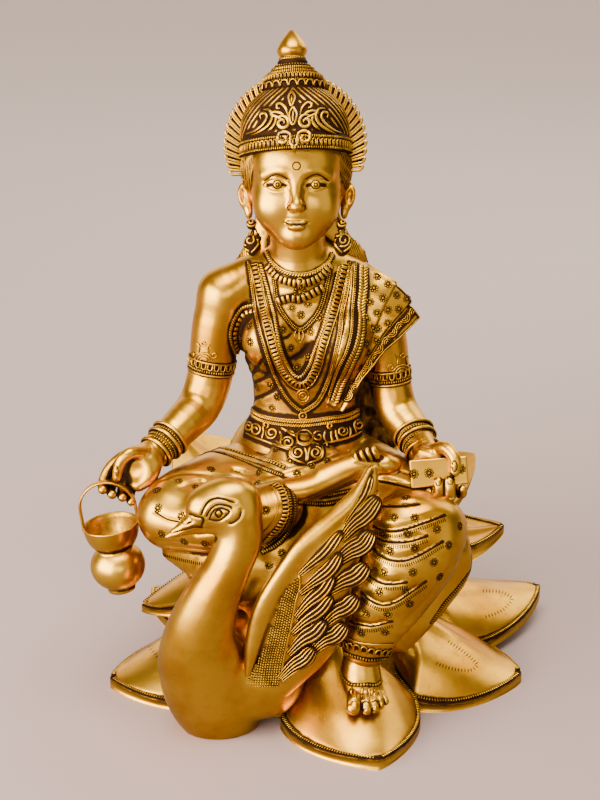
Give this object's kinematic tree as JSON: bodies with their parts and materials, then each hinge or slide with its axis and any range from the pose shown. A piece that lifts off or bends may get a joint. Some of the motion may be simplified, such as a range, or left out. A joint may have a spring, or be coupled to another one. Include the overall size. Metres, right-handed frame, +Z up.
{
  "type": "statue",
  "caption": "Polished brass statue of a seated, crowned goddess on a lotus throne with a swan, a book in one hand and a water pot with a bail hanging from the other.",
  "frame": {"origin": "on the flat underside of the lotus throne, on the seated figure's own upright axis", "axes": "+Z up, the figure faces -Y, +X to her left hand"},
  "size_m": [0.5833, 0.5109, 0.8001],
  "materials": {
    "brass": "polished, with dark brown patina in the recesses"
  },
  "bodies": {
    "root": {"statue": "brass", "water_pot": "brass"}
  },
  "joints": []
}
